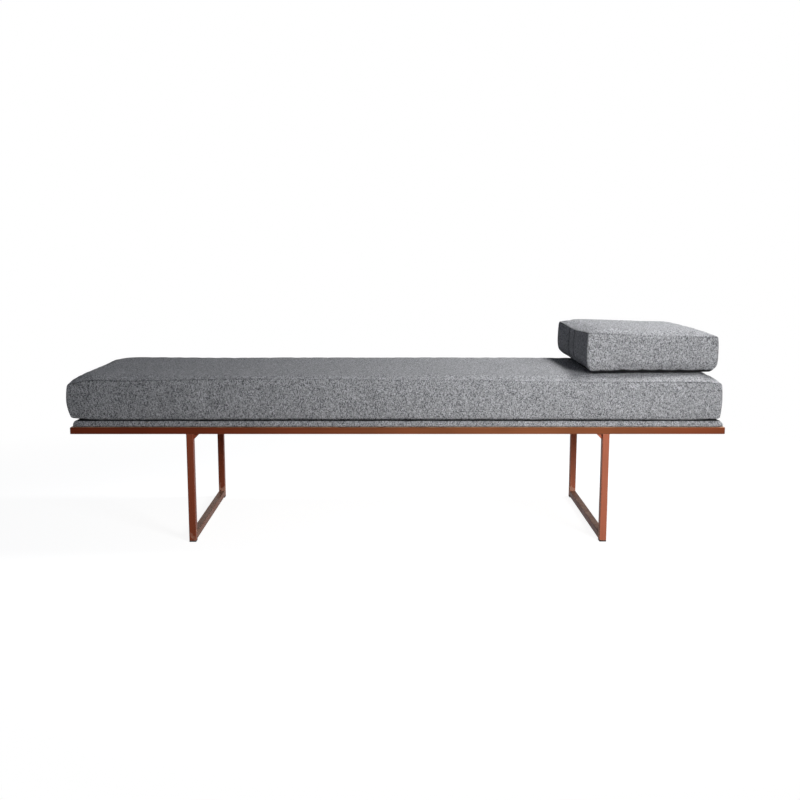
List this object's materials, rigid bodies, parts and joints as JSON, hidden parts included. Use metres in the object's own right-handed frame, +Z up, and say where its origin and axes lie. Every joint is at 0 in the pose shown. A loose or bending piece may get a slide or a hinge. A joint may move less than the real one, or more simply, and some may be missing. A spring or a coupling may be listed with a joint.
{
  "type": "backless divan",
  "caption": "Low backless divan: metal tube frame on leg loops, a thin upholstered deck pad, a loose boxed mattress and a loose boxed headrest cushion.",
  "frame": {"origin": "on the floor, under the middle of the rail frame", "axes": "+X along the divan to the end where the headrest cushion lies, +Y from the front to the back, +Z up"},
  "size_m": [1.9, 0.55, 0.6129],
  "materials": {
    "copper_metal": "satin",
    "black_plastic": "matte",
    "plywood": "matte",
    "foam": "matte",
    "fibre_wadding": "matte",
    "grey_fabric": "matte",
    "zip_nylon": "matte",
    "zinc_steel": "satin"
  },
  "bodies": {
    "frame": {"rail_front": "copper_metal", "rail_back": "copper_metal", "rail_left": "copper_metal", "rail_right": "copper_metal", "bearer_left": "copper_metal", "bearer_middle": "copper_metal", "bearer_right": "copper_metal", "post_front_left": "copper_metal", "post_back_left": "copper_metal", "post_front_right": "copper_metal", "post_back_right": "copper_metal", "floor_bar_left": "copper_metal", "floor_bar_right": "copper_metal", "gusset_front_left": "copper_metal", "gusset_back_left": "copper_metal", "gusset_front_right": "copper_metal", "gusset_back_right": "copper_metal", "glide_front_left": "black_plastic", "glide_back_left": "black_plastic", "glide_front_right": "black_plastic", "glide_back_right": "black_plastic", "deck_board": "plywood", "deck_foam": "foam", "deck_cover": "grey_fabric", "deck_screw_front_left": "zinc_steel", "deck_screw_back_left": "zinc_steel", "deck_screw_front_middle": "zinc_steel", "deck_screw_back_middle": "zinc_steel", "deck_screw_front_right": "zinc_steel", "deck_screw_back_right": "zinc_steel"},
    "mattress": {"mattress_cover": "grey_fabric", "mattress_wadding": "fibre_wadding", "mattress_core": "foam", "mattress_zip": "zip_nylon"},
    "mattress_slider": {"mattress_zip_slider": "zinc_steel"},
    "headrest": {"headrest_cover": "grey_fabric", "headrest_wadding": "fibre_wadding", "headrest_core": "foam", "headrest_zip": "zip_nylon"},
    "headrest_slider": {"headrest_zip_slider": "zinc_steel"}
  },
  "joints": [
    {"name": "mattress_lift", "type": "slide", "parent": "frame", "child": "mattress", "axis": [0, 0, 1], "range_m": [0, 0.25]},
    {"name": "headrest_lift", "type": "slide", "parent": "mattress", "child": "headrest", "axis": [0, 0, 1], "range_m": [0, 0.25]},
    {"name": "mattress_zip_run", "type": "slide", "parent": "mattress", "child": "mattress_slider", "axis": [1, 0, 0], "range_m": [0, 1.608]},
    {"name": "headrest_zip_run", "type": "slide", "parent": "headrest", "child": "headrest_slider", "axis": [0.9995, 0.0314, 0], "range_m": [0, 0.288]}
  ]
}
